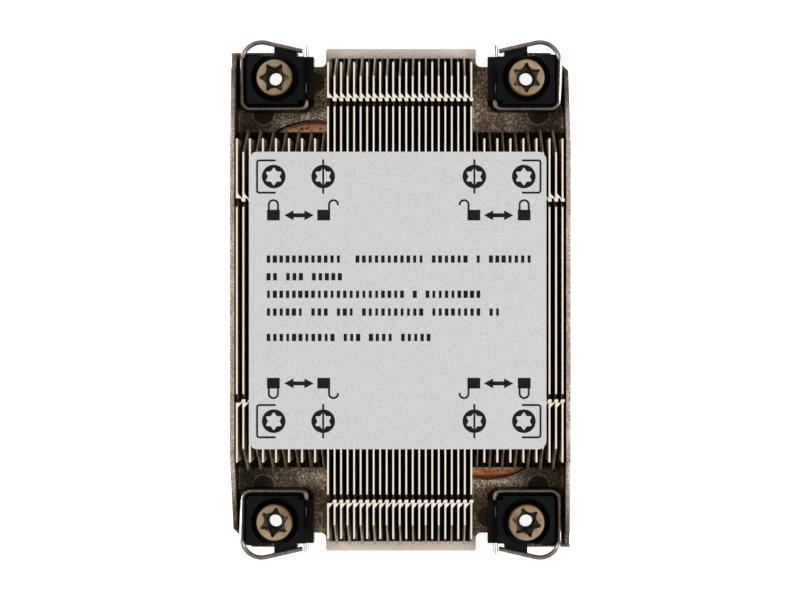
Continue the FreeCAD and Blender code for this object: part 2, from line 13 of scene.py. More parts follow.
import bmesh
import bpy
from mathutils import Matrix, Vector


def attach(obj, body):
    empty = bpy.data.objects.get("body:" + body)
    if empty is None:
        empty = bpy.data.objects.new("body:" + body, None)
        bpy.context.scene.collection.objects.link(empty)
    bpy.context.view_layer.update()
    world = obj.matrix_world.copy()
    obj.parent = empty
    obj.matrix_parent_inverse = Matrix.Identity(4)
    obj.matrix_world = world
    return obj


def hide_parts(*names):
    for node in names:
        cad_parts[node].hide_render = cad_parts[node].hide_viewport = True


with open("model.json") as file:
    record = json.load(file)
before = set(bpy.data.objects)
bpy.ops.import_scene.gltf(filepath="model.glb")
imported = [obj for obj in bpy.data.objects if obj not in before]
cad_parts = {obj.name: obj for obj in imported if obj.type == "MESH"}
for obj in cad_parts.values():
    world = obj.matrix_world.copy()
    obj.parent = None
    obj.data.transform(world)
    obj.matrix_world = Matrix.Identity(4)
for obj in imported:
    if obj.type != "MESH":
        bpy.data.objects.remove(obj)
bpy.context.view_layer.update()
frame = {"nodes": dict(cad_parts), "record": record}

NODES = frame["nodes"]
MM = 0.001
CORNERS = {
    "front_right": (1, -1),
    "front_left": (-1, -1),
    "rear_right": (1, 1),
    "rear_left": (-1, 1),
}

# %% [markdown]
# ## Small helpers
#
# Materials and geometry trees are both graphs of nodes, so one helper adds a node to either kind:
# an input that is given a socket is linked to it, and any other value is written on it. Others
# turn a mesh into an object, keep what its modifiers make, and let a finished piece ride on a body
# of the model in place of the nodes that it replaces.

# %% Helpers for nodes and pieces
def add(tree, kind, inputs=None, **settings):
    """Add a node, set its options, and link or fill its inputs."""
    node = tree.nodes.new(kind)
    for name, value in settings.items():
        setattr(node, name, value)
    for key, value in (inputs or {}).items():
        if isinstance(value, bpy.types.NodeSocket):
            tree.links.new(value, node.inputs[key])
        else:
            node.inputs[key].default_value = value
    return node


def settled(obj):
    """Keep what an object's modifiers make as its own plain mesh."""
    graph = bpy.context.evaluated_depsgraph_get()
    result = bpy.data.meshes.new_from_object(obj.evaluated_get(graph), depsgraph=graph)
    obj.modifiers.clear()
    obj.data = result
    return obj


def place_piece(obj, body, replaced=()):
    """Let a finished piece ride on its body and stand for the nodes that it replaces."""
    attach(obj, body)
    if replaced:
        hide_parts(*replaced)
    print(f"{obj.name}: {len(obj.data.polygons)} faces, on {body}")


def new_object(name, mesh):
    obj = bpy.data.objects.new(name, mesh)
    bpy.context.scene.collection.objects.link(obj)
    return obj


# %% [markdown]
# ## Camera
#
# The cooler is seen straight from above, from about 0.6 m. A long lens keeps the sides of the
# fins out of sight in the middle, while the walls and the housings still show a little of their
# height towards the edges of the view. The camera stands a little to one side of the cooler.
# Tilting it back would make level edges run together, so the lens is shifted back instead.

# %% Camera straight above
CAMERA_HEIGHT = 0.6035
VIEW_WIDTH = 0.18784          # width of the view on the floor
CAMERA_X = 0.008
CAMERA_Y = 0.004
CENTRED_LEVEL = 0.010         # the level that the shift puts back in the middle
VIEW_OFFSET = 0.00014         # the middle of the view lies this far beside the cooler's
SENSOR_WIDTH = 36.0

camera_data = bpy.data.cameras.new("camera")
camera_data.sensor_width = SENSOR_WIDTH
camera_data.lens = SENSOR_WIDTH * CAMERA_HEIGHT / VIEW_WIDTH
camera_data.clip_start = 0.01
view_at_level = VIEW_WIDTH * (CAMERA_HEIGHT - CENTRED_LEVEL) / CAMERA_HEIGHT
camera_data.shift_x = -(CAMERA_X + VIEW_OFFSET) / view_at_level
camera_data.shift_y = -CAMERA_Y / view_at_level
camera = bpy.data.objects.new("camera", camera_data)
camera.location = (CAMERA_X, CAMERA_Y, CAMERA_HEIGHT)
bpy.context.scene.collection.objects.link(camera)
bpy.context.scene.camera = camera
bpy.context.scene.view_settings.view_transform = "Standard"
print("lens:", round(camera_data.lens, 1), "mm")

# %% [markdown]
# ## Studio
#
# Bare metal shows what is around it, so the light matters as much as the material. Two soft
# boxes stand low, one on each side. Straight overhead the room is dim: cut edges and rough faces
# scatter the side light upwards, the walls and the fins shade the plate behind them, and the gaps
# between the fins and the glossy plastic stay dark. The floor is white. Part of its white is given
# off to the camera and to mirrors, so that it stays white between the pieces but still keeps a
# soft shadow.

# %% Floor
FLOOR_HALF = 2.0
FLOOR_LEVEL = -0.00002        # a hair below the contact pad, so the two never share a level
FLOOR_GLOW = 0.88
FLOOR_PAINT = (0.8, 0.8, 0.8, 1)

floor_mesh = bpy.data.meshes.new("floor")
floor_mesh.from_pydata(
    [(x * FLOOR_HALF, y * FLOOR_HALF, FLOOR_LEVEL) for x, y in
     ((-1, -1), (1, -1), (1, 1), (-1, 1))],
    [],
    [(0, 1, 2, 3)],
)
floor = new_object("floor", floor_mesh)

floor_material = bpy.data.materials.new("white floor")
floor_material.use_nodes = True
tree = floor_material.node_tree
tree.nodes.clear()
rays = add(tree, "ShaderNodeLightPath")
seen = add(tree, "ShaderNodeMath", {0: rays.outputs["Is Camera Ray"],
                                    1: rays.outputs["Is Glossy Ray"]}, operation="MAXIMUM")
seen = add(tree, "ShaderNodeMath", {0: seen.outputs[0],
                                    1: rays.outputs["Is Transmission Ray"]}, operation="MAXIMUM")
glow_level = add(tree, "ShaderNodeMath", {0: seen.outputs[0], 1: FLOOR_GLOW},
                 operation="MULTIPLY")
glow = add(tree, "ShaderNodeEmission", {"Color": (1, 1, 1, 1), "Strength": glow_level.outputs[0]})
paint = add(tree, "ShaderNodeBsdfDiffuse", {"Color": FLOOR_PAINT})
both = add(tree, "ShaderNodeAddShader", {0: glow.outputs[0], 1: paint.outputs[0]})
add(tree, "ShaderNodeOutputMaterial", {"Surface": both.outputs[0]})
floor_mesh.materials.append(floor_material)
print("floor:", 2 * FLOOR_HALF, "m wide, at", FLOOR_LEVEL / MM, "mm")


# %% Softboxes and room
BOX_SIZE = 0.6
BOX_DISTANCE = 1.3
BOX_FROM_VERTICAL = math.radians(51.0)
ROOM_COLOR = (1.0, 0.99, 0.97, 1)
ROOM_LEVEL = 0.18


def softbox(name, azimuth_deg, radiance):
    """A square light that faces the cooler from the given side."""
    data = bpy.data.lights.new(name, "AREA")
    data.shape = "RECTANGLE"
    data.size = BOX_SIZE
    data.size_y = BOX_SIZE
    data.energy = radiance * math.pi * BOX_SIZE * BOX_SIZE
    lamp = bpy.data.objects.new(name, data)
    azimuth = math.radians(azimuth_deg)
    towards = Vector((math.sin(BOX_FROM_VERTICAL) * math.cos(azimuth),
                      math.sin(BOX_FROM_VERTICAL) * math.sin(azimuth),
                      math.cos(BOX_FROM_VERTICAL)))
    lamp.location = towards * BOX_DISTANCE
    lamp.rotation_euler = towards.to_track_quat("Z", "Y").to_euler()
    lamp.visible_camera = False
    bpy.context.scene.collection.objects.link(lamp)
    print(f"{name}: {data.energy:.1f} W")


softbox("left box", azimuth_deg=174.0, radiance=9.3)
softbox("right box", azimuth_deg=-8.0, radiance=11.0)

world = bpy.data.worlds.new("room")
world.use_nodes = True
world.node_tree.nodes["Background"].inputs["Color"].default_value = ROOM_COLOR
world.node_tree.nodes["Background"].inputs["Strength"].default_value = ROOM_LEVEL
bpy.context.scene.world = world

# %% [markdown]
# ## Finishes
#
# A picture wrapped round each piece would need a picture and a flat layout for every piece. These
# finishes are computed instead, from noise and from where a point lies on the cooler. Every
# finish starts from the same shader and reads the piece's own coordinates, which are metres here,
# so a noise of scale 1000 has grains about a millimetre apart. What is the same all over a finish
# is written on the shader, and only what varies comes from nodes.

# %% A blank finish
def blank_finish(name, color, metallic, roughness):
    """A new material: its tree, its shader and the piece's own coordinates."""
    material = bpy.data.materials.new(name)
    material.use_nodes = True
    tree = material.node_tree
    shader = tree.nodes["Principled BSDF"]
    shader.inputs["Base Color"].default_value = (*color, 1)
    shader.inputs["Metallic"].default_value = metallic
    shader.inputs["Roughness"].default_value = roughness
    coordinates = add(tree, "ShaderNodeTexCoord").outputs["Object"]
    return material, tree, shader, coordinates


def noise(tree, coordinates, scale, detail=2.0, stretch=(1, 1, 1)):
    """Noise whose grain may be longer along one direction."""
    mapping = add(tree, "ShaderNodeMapping", {"Vector": coordinates, "Scale": stretch})
    texture = add(tree, "ShaderNodeTexNoise",
                  {"Vector": mapping.outputs[0], "Scale": scale, "Detail": detail})
    return texture.outputs["Fac"]


def ramp(tree, value, stops):
    """Turn a value into a colour that runs through the given stops."""
    node = add(tree, "ShaderNodeValToRGB", {"Fac": value})
    elements = node.color_ramp.elements
    while len(elements) < len(stops):
        elements.new(0.5)
    for element, (position, color) in zip(elements, stops):
        element.position = position
        element.color = (*color, 1)
    return node.outputs["Color"]


def to_range(tree, value, low, high, out_low=0.0, out_high=1.0):
    node = add(tree, "ShaderNodeMapRange", {"Value": value, "From Min": low, "From Max": high,
                                            "To Min": out_low, "To Max": out_high})
    return node.outputs["Result"]


def math_of(tree, operation, first, second=0.0):
    return add(tree, "ShaderNodeMath", {0: first, 1: second}, operation=operation).outputs[0]


def within(tree, value, middle, reach):
    """1 where a value lies no further than `reach` from `middle`, 0 elsewhere."""
    result = math_of(tree, "COMPARE", value, middle)
    result.node.inputs[2].default_value = reach
    return result


def times(tree, first, second):
    return math_of(tree, "MULTIPLY", first, second)


def blend(tree, amount, first, second):
    """Mix two colours; each is a socket or three plain values."""
    node = add(tree, "ShaderNodeMix", {"Factor": amount}, data_type="RGBA")
    for socket, value in ((node.inputs["A"], first), (node.inputs["B"], second)):
        if isinstance(value, bpy.types.NodeSocket):
            tree.links.new(value, socket)
        else:
            socket.default_value = (*value, 1)
    return node.outputs["Result"]


def parts_of(tree, vector):
    node = add(tree, "ShaderNodeSeparateXYZ", {0: vector})
    return node.outputs["X"], node.outputs["Y"], node.outputs["Z"]


def facing_up(tree):
    """1 on level faces that look up, 0 on upright ones, from the piece's own normals."""
    normal = add(tree, "ShaderNodeTexCoord").outputs["Normal"]
    return to_range(tree, parts_of(tree, normal)[2], 0.45, 0.8)


def bump(tree, shader, height, distance, strength=1.0):
    node = add(tree, "ShaderNodeBump",
               {"Height": height, "Distance": distance, "Strength": strength})
    tree.links.new(node.outputs["Normal"], shader.inputs["Normal"])


# %% A place for each finish
FINISHES = {}


def keep_finish(slot, material):
    """File a finish under the name of its slot."""
    FINISHES[slot] = material
    print(f"{slot}: {material.name}, {len(material.node_tree.nodes)} nodes")


# %% [markdown]
# ### Cast metal
#
# The base is a die casting that was blasted and then plated. Blasting leaves fine pits, so single
# grains flash while their neighbours stay brown, and the bath wears the plating unevenly, in
# clouds.
# Beside the walls the plate is darkened with painted shade. The ejector marks are darkened with
# painted shade, and a painted highlight rings each of them. The tops of the two tongues' ends and
# of the walls are painted paler and more even, as painted light. The contact pad below was
# milled, and its lines show as fine ridges. Each of these areas could be a material of its own,
# but they fade into each other, so one material tells them apart by place.

# %% Cast metal: grain of the blasting and marks of the ejector pins
PLATE_LEVEL = 4.2 * MM
MARK_PLACE = (32.0 * MM, 43.4 * MM, 0)       # the outer ejector marks, in every corner
MARK_RADIUS = 2.4 * MM
MARK_DEPTH = 0.25 * MM


def blasted_grain(tree, place, far_x):
    """Fine pits, and the same pits with the clouds of the bath and the shade of the walls."""
    grains = noise(tree, place, 2300, 4.0)
    clouds = noise(tree, place, 150, 3.0)
    mixed = math_of(tree, "ADD", grains, to_range(tree, clouds, 0.0, 1.0, 0.2, 0.8))
    # painted shade: the plate darkens towards the walls, which shade it
    wall_shade = to_range(tree, far_x, 27 * MM, 36 * MM, 0.0, 0.16)
    return grains, math_of(tree, "SUBTRACT", mixed, wall_shade)


def ejector_marks(tree, tone, far_x, far_y, z, grains):
    """Paint shade into the sunk marks and a highlight on the rim round each of them."""
    mark_shade = within(tree, z, PLATE_LEVEL - MARK_DEPTH, 0.12 * MM)
    # painted shade: the floor of each sunk mark is darkened
    tone = blend(tree, mark_shade, tone, (0.085, 0.065, 0.050))
    folded = add(tree, "ShaderNodeCombineXYZ", {"X": far_x, "Y": far_y}).outputs[0]
    distance = add(tree, "ShaderNodeVectorMath", {0: folded, 1: MARK_PLACE},
                   operation="DISTANCE").outputs["Value"]
    # painted highlight: a bright ring on the edge of each mark
    rim = within(tree, distance, MARK_RADIUS + 0.25 * MM, 0.2 * MM)
    rim = times(tree, rim, to_range(tree, grains, 0.4, 0.55, 0.15, 0.9))
    rim = times(tree, rim, to_range(tree, z, 1 * MM, 2 * MM))
    return blend(tree, rim, tone, (0.50, 0.42, 0.34))


print("ejector marks:", round(2 * MARK_RADIUS / MM, 1), "mm across")

# %% Cast metal: painted light on the tongues and wall tops, and the milled pad
TONGUE_HALF = 17.6 * MM
TONGUE_LIT_FROM = 55.0 * MM                    # the tongue's top is painted lighter from here to its end
PAD_RELIEF = 0.3 * MM                        # only the pad lies lower than this


def cast_metal():
    material, tree, shader, place = blank_finish("cast metal", (0.2, 0.17, 0.14), 1.0, 0.5)
    x, y, z = parts_of(tree, place)
    far_x = math_of(tree, "ABSOLUTE", x)
    far_y = math_of(tree, "ABSOLUTE", y)
    up = facing_up(tree)
    grains, mixed = blasted_grain(tree, place, far_x)
    tone = ramp(tree, to_range(tree, mixed, 0.68, 1.32),
                [(0.0, (0.036, 0.027, 0.019)), (0.5, (0.25, 0.195, 0.14)),
                 (0.85, (1.0, 0.85, 0.66))])
    tone = ejector_marks(tree, tone, far_x, far_y, z, grains)

    # painted light: the level top of each tongue's end is painted paler and more even
    tongue_light = ramp(tree, mixed, [(0.8, (0.74, 0.62, 0.53)), (1.3, (0.85, 0.73, 0.64))])
    on_tongue = times(tree, math_of(tree, "GREATER_THAN", far_y, TONGUE_LIT_FROM),
                      math_of(tree, "LESS_THAN", far_x, TONGUE_HALF))
    on_tongue = times(tree, on_tongue, up)
    tone = blend(tree, on_tongue, tone, tongue_light)
    tree.links.new(to_range(tree, on_tongue, 0, 1, 1.0, 0.35), shader.inputs["Metallic"])

    # painted light: the level tops of the walls are painted paler, less so towards their ends
    lit_wall_tone = ramp(tree, mixed, [(0.7, (0.50, 0.42, 0.36)), (1.0, (1.0, 0.88, 0.79))])
    on_wall = times(tree, to_range(tree, z, 8 * MM, 11 * MM), up)
    on_wall = times(tree, on_wall, to_range(tree, far_y, 40 * MM, 52 * MM, 1.0, 0.3))
    tone = blend(tree, on_wall, tone, lit_wall_tone)

    on_pad = math_of(tree, "LESS_THAN", z, PAD_RELIEF)
    tone = blend(tree, on_pad, tone, (0.56, 0.51, 0.45))
    tree.links.new(tone, shader.inputs["Base Color"])
    lay = noise(tree, place, 1500, 2.0, stretch=(0.01, 1, 1))
    height = add(tree, "ShaderNodeMix", {"Factor": on_pad, 2: grains, 3: lay}).outputs[0]
    bump(tree, shader, height, 0.12 * MM, 0.8)
    return material


keep_finish("cast_base", cast_metal())

# %% [markdown]
# ### Plated sheet
#
# The fins are thin sheet that was plated before it was sheared and folded. A painted highlight
# draws a bright line along the middle of each cut edge, and the locked tabs are painted bright
# too. The faces between the fins are painted brown with shade, darker towards the feet, and the
# notches and lower tops are painted dark with shade. The ends that were nipped off are painted
# dark with a paler middle line, painted shade and highlight. The bright line could be drawn on
# every edge as a strip of its own, which would be thousands of faces. But the fins stand at an
# even pitch, so folding the distance across the stack back and forth at half that pitch tells how
# far a point is from its fin's middle, and the material draws the line by itself.

# %% Plated sheet: what shows from above
FIN_PITCH = 1.466 * MM
ZIP_ROWS = (23.0 * MM, 45.6 * MM)            # the rows of tabs, from the middle, both ways
NOTCH_SHADE = (0.035, 0.026, 0.017)
HIGHLIGHT_HALF = (0.21 * MM, 0.15 * MM)      # the bright line fades out between these
NIPPED_HALF = (0.11 * MM, 0.06 * MM)


def edge_masks(tree, off_middle, along, level):
    """Where a painted highlight lies on the cut edges and the tabs, and where painted shade lies
    in the notches and on lower tops.
    """
    # painted highlight: a bright line along the middle of each fin's top, and on the tabs
    painted_highlight = to_range(tree, off_middle, *HIGHLIGHT_HALF)
    along_half = math_of(tree, "ABSOLUTE", along)
    # painted shade: tops lower than the fins' top, and the notches beside the tabs, are painted
    # dark
    sunk = to_range(tree, level, 25.1 * MM, 24.7 * MM)
    for row in ZIP_ROWS:
        in_row = within(tree, along_half, row + 0.25 * MM, 1.1 * MM)
        painted_highlight = math_of(tree, "MAXIMUM", painted_highlight, in_row)
        in_notch = within(tree, along_half, row - 1.55 * MM, 0.4 * MM)
        sunk = math_of(tree, "MAXIMUM", sunk, in_notch)
    painted_highlight = math_of(tree, "SUBTRACT", painted_highlight, sunk)
    return to_range(tree, painted_highlight, 0.0, 1.0), sunk


print("rows of tabs:", [round(row / MM, 1) for row in ZIP_ROWS], "mm from the middle")

# %% Plated sheet: the whole finish
def plated_sheet():
    material, tree, shader, place = blank_finish("plated sheet", (0.8, 0.72, 0.61), 1.0, 0.5)
    across, along, level = parts_of(tree, place)
    up = facing_up(tree)
    streaks = noise(tree, place, 500, 3.0, stretch=(1, 0.3, 1))
    off_middle = math_of(tree, "PINGPONG", across, FIN_PITCH / 2)

    painted_highlight, sunk = edge_masks(tree, off_middle, along, level)
    # painted highlight: the bright colour of the tops; off the line the level faces get painted
    # shade
    edge = ramp(tree, streaks, [(0.3, (0.92, 0.80, 0.66)), (0.62, (1.0, 0.93, 0.82))])
    top_shade = (0.42, 0.30, 0.17)
    top = blend(tree, painted_highlight, top_shade, edge)
    top = blend(tree, sunk, top, NOTCH_SHADE)

    # painted shade: the sides of the fins are painted brown, darker towards the feet
    face = ramp(tree, streaks, [(0.3, (0.46, 0.35, 0.22)), (0.66, (0.66, 0.53, 0.37))])
    foot = (0.30, 0.215, 0.125)
    side = blend(tree, to_range(tree, level, 5 * MM, 13 * MM), foot, face)
    # painted shade and painted highlight: the nipped ends are dark with a paler middle line
    nipped = blend(tree, to_range(tree, off_middle, *NIPPED_HALF), (0.03, 0.024, 0.017),
                   (0.42, 0.38, 0.33))
    normal = add(tree, "ShaderNodeTexCoord").outputs["Normal"]
    end_face = math_of(tree, "ABSOLUTE", parts_of(tree, normal)[1])
    side = blend(tree, to_range(tree, end_face, 0.4, 0.7), side, nipped)
    tree.links.new(blend(tree, up, side, top), shader.inputs["Base Color"])

    scatter = times(tree, painted_highlight, up)
    scatter = math_of(tree, "MAXIMUM", scatter, to_range(tree, up, 0, 1, 0.7, 0.0))
    tree.links.new(to_range(tree, scatter, 0, 1, 1.0, 0.2), shader.inputs["Metallic"])
    tree.links.new(to_range(tree, streaks, 0.3, 0.7, 0.6, 0.48), shader.inputs["Roughness"])
    bump(tree, shader, noise(tree, place, 1800, 2.0, stretch=(1, 0.4, 1)), 0.03 * MM, 0.5)
    return material


keep_finish("fin_sheet", plated_sheet())

# %% [markdown]
# ### Copper
#
# A heat pipe is copper tube, drawn through a die and pressed flat, so it carries faint lines
# along its length. Handling leaves brown spots. One of the two pipes is painted brighter in
# spots, a painted highlight, and the outer side of each bend is darkened with painted shade. A
# stretched noise gives the lines and a round one the spots, which is nearer to the real cause
# than one even copper colour.

# %% Copper
BEND_SHADE = (39.3 * MM, 41.2 * MM)        # painted shade on the outer side of each bend


def bare_copper():
    material, tree, shader, place = blank_finish("bare copper", (0.85, 0.42, 0.27), 0.55, 0.36)
    lines = noise(tree, place, 1300, 3.0, stretch=(0.16, 1, 1))
    spots = noise(tree, place, 1500, 4.0)
    tone = ramp(tree, lines, [(0.34, (0.36, 0.085, 0.03)), (0.5, (1.0, 0.36, 0.15)),
                              (0.66, (1.0, 0.66, 0.42))])
    tone = blend(tree, to_range(tree, spots, 0.44, 0.30), tone, (0.16, 0.045, 0.018))
    y = parts_of(tree, place)[1]
    # painted highlight: the pipe on the +y side is painted brighter in spots
    bright_part = times(tree, to_range(tree, y, 0.0, 1 * MM, 0.0, 0.85),
                   to_range(tree, spots, 0.42, 0.58))
    tone = blend(tree, bright_part, tone, (1.0, 0.60, 0.36))
    far_y = math_of(tree, "ABSOLUTE", y)
    # painted shade: the outer side of each bend is darkened
    outside = to_range(tree, far_y, *BEND_SHADE, 0.0, 0.85)
    tone = blend(tree, outside, tone, (0.20, 0.045, 0.018))
    tree.links.new(tone, shader.inputs["Base Color"])
    bump(tree, shader, lines, 0.08 * MM, 0.7)
    return material


keep_finish("copper_pipe", bare_copper())

# %% [markdown]
# ### The two plastics
#
# The housings are black with the fine texture of an eroded mould, so the shader stays plain and
# only its roughness and a tiny bump vary. The nuts are a tan engineering plastic. Their colour
# follows the height on the nut: the recess is darkened with painted shade, and the sides are
# painted dark with shade that deepens towards the bottom, so the top of the head is palest.

# %% Black moulding
def black_moulding():
    material, tree, shader, place = blank_finish("black moulding", (0.004, 0.004, 0.005), 0.0,
                                                 0.42)
    shader.inputs["Specular IOR Level"].default_value = 0.2
    grain = noise(tree, place, 5000, 2.0)
    tree.links.new(to_range(tree, grain, 0.3, 0.7, 0.36, 0.52), shader.inputs["Roughness"])
    bump(tree, shader, grain, 0.02 * MM, 0.5)
    return material


keep_finish("black_moulding", black_moulding())

# %% Tan moulding
NUT_TOP_FADE = (11.6 * MM, 12.2 * MM)        # from the painted shade of the recess to the top of the head
NUT_SIDE_FADE = (9 * MM, 12.3 * MM)


def tan_moulding():
    material, tree, shader, place = blank_finish("tan moulding", (0.42, 0.27, 0.145), 0.0, 0.34)
    clouds = noise(tree, place, 420, 3.0)
    bright_part = ramp(tree, clouds, [(0.3, (0.34, 0.228, 0.128)), (0.7, (0.50, 0.355, 0.218))])
    level = parts_of(tree, place)[2]
    # painted shade: the floor of the driver recess is painted darker than the head
    recess_shade = ramp(tree, clouds, [(0.3, (0.18, 0.13, 0.065)), (0.7, (0.29, 0.22, 0.12))])
    head = blend(tree, to_range(tree, level, *NUT_TOP_FADE), recess_shade, bright_part)
    # painted shade: the sides are painted dark, darker towards the bottom
    side_shade = blend(tree, to_range(tree, level, *NUT_SIDE_FADE), (0.055, 0.038, 0.018),
                 (0.15, 0.105, 0.045))
    tree.links.new(blend(tree, facing_up(tree), side_shade, head), shader.inputs["Base Color"])
    bump(tree, shader, noise(tree, place, 3500, 2.0), 0.02 * MM, 0.4)
    return material


keep_finish("tan_moulding", tan_moulding())

# %% [markdown]
# ### Film, ink and steel
#
# The label is a silver-grey film with a very fine sparkle, and its ink is nearly black. The wires
# are drawn spring steel with a brown tinge from heat treatment, and the inserts in the nuts are
# painted dark steel, as painted shade in the bore. All four are thin or small, so one noise on
# each is enough.

# %% Label film and ink
def label_film():
    material, tree, shader, place = blank_finish("label film", (0.65, 0.65, 0.66), 0.0, 0.4)
    sparkle = noise(tree, place, 2600, 3.0)
    tone = ramp(tree, sparkle, [(0.3, (0.57, 0.572, 0.587)), (0.7, (0.73, 0.732, 0.742))])
    tree.links.new(tone, shader.inputs["Base Color"])
    bump(tree, shader, sparkle, 0.02 * MM, 0.5)
    return material


def label_ink():
    material, tree, shader, place = blank_finish("label ink", (0.02, 0.02, 0.022), 0.0, 0.42)
    shader.inputs["Specular IOR Level"].default_value = 0.15
    cover = noise(tree, place, 3000, 2.0)
    tone = ramp(tree, cover, [(0.3, (0.006, 0.006, 0.007)), (0.7, (0.016, 0.016, 0.018))])
    tree.links.new(tone, shader.inputs["Base Color"])
    return material


keep_finish("label_film", label_film())
keep_finish("label_ink", label_ink())

# %% Spring steel and insert steel
def spring_steel():
    material, tree, shader, place = blank_finish("spring steel", (0.40, 0.36, 0.32), 1.0, 0.3)
    scuffs = noise(tree, place, 900, 3.0)
    tone = ramp(tree, scuffs, [(0.32, (0.50, 0.44, 0.39)), (0.66, (0.78, 0.71, 0.65))])
    tree.links.new(tone, shader.inputs["Base Color"])
    return material


def insert_steel():
    # painted shade: the insert is painted dark, as the shaded bore and recess floor
    material, tree, shader, place = blank_finish("insert steel", (0.09, 0.08, 0.07), 1.0, 0.5)
    mottle = noise(tree, place, 1200, 3.0)
    tone = ramp(tree, mottle, [(0.3, (0.045, 0.040, 0.033)), (0.7, (0.14, 0.125, 0.105))])
    tree.links.new(tone, shader.inputs["Base Color"])
    return material


keep_finish("spring_steel", spring_steel())
keep_finish("insert_steel", insert_steel())

# %% Dress the solid model
for item in frame["record"]["subparts"]:
    for slot in NODES[item["node"]].material_slots:
        slot.material = FINISHES[item["material_slot"]]

# %% [markdown]
# ## Rounded edges
#
# No moulded or cast edge is perfectly sharp. A narrow rounding catches a thin line of light and
# makes a part look solid. A copy of the solid's mesh is welded, its flat faces are joined again,
# and a Bevel modifier rounds every edge that turns by more than a set angle. The whole form could
# be drawn again with round edges, but a copy keeps it from the solid model at no cost.

# %% Soften a copy of a solid
WELD_DISTANCE = 0.002 * MM
FLAT_ANGLE = math.radians(1.0)               # faces that turn by less than this become one


def softened(node, name, width, angle_deg=35.0, segments=2):
    """A welded copy of a node's mesh, with its sharp edges rounded."""
    mesh = bpy.data.meshes.new(name)
    shape = bmesh.new()
    shape.from_mesh(NODES[node].data)
    bmesh.ops.remove_doubles(shape, verts=shape.verts, dist=WELD_DISTANCE)
    bmesh.ops.dissolve_limit(shape, angle_limit=FLAT_ANGLE, verts=shape.verts,
                             edges=shape.edges, delimit=set())
    shape.to_mesh(mesh)
    shape.free()
    mesh.shade_smooth()
    mesh.set_sharp_from_angle(angle=math.radians(angle_deg))
    mesh.materials.append(NODES[node].material_slots[0].material)
    obj = new_object(name, mesh)
    rounding = obj.modifiers.new("Rounding", "BEVEL")
    rounding.width = width
    rounding.segments = segments
    rounding.limit_method = "ANGLE"
    rounding.angle_limit = math.radians(angle_deg)
    rounding.miter_outer = "MITER_ARC"
    rounding.use_clamp_overlap = True
    rounding.harden_normals = True
    return settled(obj)


# %% [markdown]
# ### The base
#
# The ends of the two side walls lean in a little, because a casting needs draft to leave its die.
# Each point of the copy is moved one by one: the lean grows with the height above the plate and
# fades out away from the ends, which no single modifier does.

# %% The base
WALL_INSIDE = 37.9 * MM
WALL_END = 57.6 * MM
DRAFT_START = 46.0 * MM
DRAFT_PER_HEIGHT = 0.1

casting = softened("base_plate", "base_casting", 0.15 * MM)
for vertex in casting.data.vertices:
    x, y, z = vertex.co
    if abs(x) > WALL_INSIDE and abs(y) > DRAFT_START and z > PLATE_LEVEL:
        share = (abs(y) - DRAFT_START) / (WALL_END - DRAFT_START)
        vertex.co.y -= math.copysign(share * DRAFT_PER_HEIGHT * (z - PLATE_LEVEL), y)
place_piece(casting, "heatsink", ["base_plate"])

# %% [markdown]
# ### Housings and nuts
#
# In each corner a black housing keeps a nut on the base. The housing is snapped on and stays, so
# it rides on the heatsink, and the nut turns in it, so it rides on a body of its own. Both come
# from one loop over the corners.

# %% Housings and nuts
for corner in CORNERS:
    node = f"nut_housing_{corner}"
    piece = softened(node, f"housing_moulding_{corner}", 0.14 * MM)
    place_piece(piece, "heatsink", [node])
    node = f"captive_nut_{corner}"
    piece = softened(node, f"nut_moulding_{corner}", 0.1 * MM)
    place_piece(piece, f"nut_{corner}", [node])

# %% [markdown]
# ## Trees that grow pieces
#
# Print, wires and threads repeat or follow a path, so geometry trees make them. Each tree takes a
# small skeleton mesh and named sizes. The sizes are written on the modifier before the object is
# first evaluated, and the result is turned into a plain mesh, so nothing stays live.

# %% Helpers for geometry trees
def new_tree(name, sizes):
    """A geometry tree with a skeleton input and named inputs, and its input sockets."""
    tree = bpy.data.node_groups.new(name, "GeometryNodeTree")
    tree.interface.new_socket("Skeleton", in_out="INPUT", socket_type="NodeSocketGeometry")
    for size in sizes:
        tree.interface.new_socket(size, in_out="INPUT", socket_type="NodeSocketFloat")
    tree.interface.new_socket("Material", in_out="INPUT", socket_type="NodeSocketMaterial")
    tree.interface.new_socket("Piece", in_out="OUTPUT", socket_type="NodeSocketGeometry")
    return tree, add(tree, "NodeGroupInput").outputs


def close_tree(tree, geometry, material):
    """Weld what the tree made, turn instances into real faces and dress them."""
    real = add(tree, "GeometryNodeRealizeInstances", {"Geometry": geometry}).outputs[0]
    welded = add(tree, "GeometryNodeMergeByDistance",
                 {"Geometry": real, "Distance": 0.0005 * MM}).outputs[0]
    dressed = add(tree, "GeometryNodeSetMaterial", {"Geometry": welded, "Material": material})
    add(tree, "NodeGroupOutput", {"Piece": dressed.outputs[0]})


def joined(tree, *parts):
    """Several geometries as one."""
    join = tree.nodes.new("GeometryNodeJoinGeometry")
    for part in parts:
        tree.links.new(part, join.inputs[0])
    return join.outputs[0]


def attribute_of(tree, name):
    """The numbers that the skeleton carries on its points under this name."""
    node = add(tree, "GeometryNodeInputNamedAttribute", {"Name": name}, data_type="FLOAT")
    return node.outputs["Attribute"]


def circle_of(tree, resolution, radius):
    return add(tree, "GeometryNodeCurvePrimitiveCircle",
               {"Resolution": resolution, "Radius": radius}).outputs[0]


def solid_of(tree, flat, thickness):
    """Raise flat faces by a thickness, and keep their turned-over copy as the underside."""
    raised = add(tree, "GeometryNodeExtrudeMesh",
                 {"Mesh": flat, "Offset Scale": thickness, "Individual": False}).outputs["Mesh"]
    under = add(tree, "GeometryNodeFlipFaces", {"Mesh": flat}).outputs[0]
    return joined(tree, raised, under)


